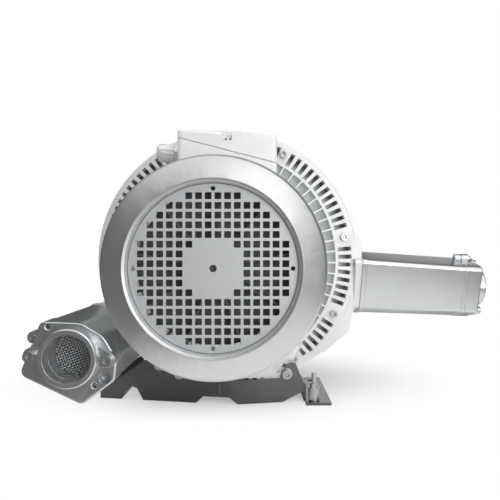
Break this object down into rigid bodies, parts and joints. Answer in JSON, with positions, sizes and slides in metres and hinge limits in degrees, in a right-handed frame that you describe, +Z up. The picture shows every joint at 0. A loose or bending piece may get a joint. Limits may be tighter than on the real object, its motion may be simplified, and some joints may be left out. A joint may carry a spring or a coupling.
{
  "type": "side channel blower",
  "caption": "Motor-driven side channel blower with a finned cast head, inlet and outlet silencers with flanged ports, a terminal box with a cable gland and a bent sheet base.",
  "frame": {"origin": "centre of the four foot holes, on the floor", "axes": "+Z up, +X along the long way from the axial silencer to the sideways one, and the shaft runs along +Y from the fan end to the blower head"},
  "size_m": [0.6977, 0.5225, 0.4765],
  "materials": {
    "cast_aluminium": "die-cast, shot-blasted satin",
    "silver_paint": "aluminium casting under silver-grey paint",
    "silver_sheet": "pressed steel sheet under silver-grey satin paint",
    "cast_housing": "die-cast, satin silver",
    "zinc_steel": "bright zinc plate",
    "stainless_mesh": "woven stainless wire",
    "absorber_foam": "open-cell foam",
    "plated_brass": "nickel plate",
    "black_rubber": "moulded nitrile rubber",
    "grey_steel": "bent steel sheet under grey paint",
    "turned_steel": "turned and ground",
    "lamination_steel": "varnished laminations",
    "copper_winding": "varnished copper wire",
    "dark_plastic": "moulded thermoplastic"
  },
  "bodies": {
    "root": {"base_bolts": "zinc_steel", "base_bracket": "grey_steel", "bearing_outer_rings": "turned_steel", "casing_bolts": "zinc_steel", "casing_nuts": "zinc_steel", "casing_seals": "black_rubber", "cowl_grille": "silver_sheet", "cowl_screws": "zinc_steel", "drive_end_shield": "cast_aluminium", "fan_cowl": "silver_sheet", "fan_end_shield": "cast_aluminium", "gland_body": "plated_brass", "gland_cap": "plated_brass", "gland_lock_nut": "plated_brass", "gland_seal": "black_rubber", "left_absorber": "absorber_foam", "left_cover_screws": "zinc_steel", "left_mesh_screen": "stainless_mesh", "left_port_bolts": "zinc_steel", "left_port_flange": "cast_housing", "left_silencer_cover": "cast_housing", "left_silencer_housing": "cast_housing", "levelling_nuts": "zinc_steel", "levelling_studs": "zinc_steel", "lid_gasket": "black_rubber", "lid_screws": "zinc_steel", "middle_casing": "cast_aluminium", "motor_bolts": "zinc_steel", "motor_frame": "silver_paint", "motor_side_casing": "cast_aluminium", "rear_cover": "cast_aluminium", "right_absorber": "absorber_foam", "right_cover_screws": "zinc_steel", "right_mesh_screen": "stainless_mesh", "right_port_bolts": "zinc_steel", "right_port_flange": "cast_housing", "right_silencer_cover": "cast_housing", "right_silencer_housing": "cast_housing", "shaft_seal": "black_rubber", "silencer_mount_screws": "zinc_steel", "stage_seal": "black_rubber", "stator_core": "lamination_steel", "stator_windings": "copper_winding", "terminal_block": "dark_plastic", "terminal_box_base": "silver_paint", "terminal_box_lid": "silver_paint", "terminal_studs": "plated_brass"},
    "rotor": {"motor_shaft": "turned_steel", "rotor_core": "lamination_steel", "cooling_fan": "dark_plastic", "fan_clip": "zinc_steel", "bearing_inner_rings": "turned_steel", "bearing_balls": "turned_steel", "impeller_stage_1": "cast_aluminium", "impeller_stage_2": "cast_aluminium", "impeller_spacer": "turned_steel", "shaft_sleeve": "turned_steel", "impeller_key": "turned_steel", "impeller_washer": "zinc_steel", "impeller_nut": "zinc_steel"}
  },
  "joints": [
    {"name": "rotor_spin", "type": "hinge", "parent": "root", "child": "rotor", "pos_m": [0.0255, -0.086, 0.25], "axis": [0, 1, 0], "continuous": true}
  ]
}
